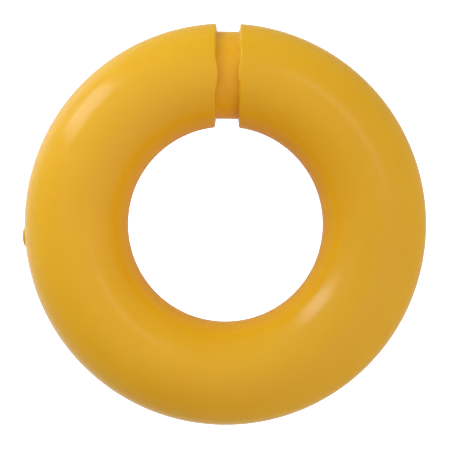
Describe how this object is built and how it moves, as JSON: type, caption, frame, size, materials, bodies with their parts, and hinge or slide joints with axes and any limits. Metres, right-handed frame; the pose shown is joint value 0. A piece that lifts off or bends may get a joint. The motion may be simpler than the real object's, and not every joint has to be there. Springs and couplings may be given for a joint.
{
  "type": "ring buoy",
  "caption": "Round-section moulded plastic ring float with a line groove around its tube and a screwed filler plug in its rim.",
  "frame": {"origin": "on the ring's axis, at the level of the rear crown that it lies on", "axes": "+Z is the ring's axis and points out of its front; +Y points at the line groove; the filler plug is near -X, 4.4 degrees towards -Y"},
  "size_m": [0.5108, 0.507, 0.1306],
  "materials": {
    "shell_plastic": "semi-gloss moulded polyethylene, golden yellow",
    "neck_plastic": "semi-gloss moulded polyethylene, golden yellow",
    "filler_plastic": "semi-gloss moulded nylon, golden yellow",
    "foam": null,
    "seal_rubber": "matt black rubber"
  },
  "bodies": {
    "ring": {"front_shell": "shell_plastic", "rear_shell": "shell_plastic", "neck_sleeve": "neck_plastic", "neck_gasket_left": "seal_rubber", "neck_gasket_right": "seal_rubber", "foam_core": "foam", "filler_bush": "filler_plastic"},
    "seal": {"filler_plug_seal": "seal_rubber"},
    "plug": {"filler_plug": "filler_plastic"}
  },
  "joints": [
    {"name": "plug_travel", "type": "slide", "parent": "ring", "child": "seal", "axis": [-0.9971, -0.0767, 0], "range_m": [0, 0.0075]},
    {"name": "plug_turn", "type": "hinge", "parent": "seal", "child": "plug", "pos_m": [-0.18814, -0.01448, 0.0653], "axis": [-0.9971, -0.0767, 0], "range_deg": [0, 1081]}
  ],
  "couplings": [
    {"joint": "plug_turn", "follows": "plug_travel", "rad_per_m": 2513.3}
  ]
}
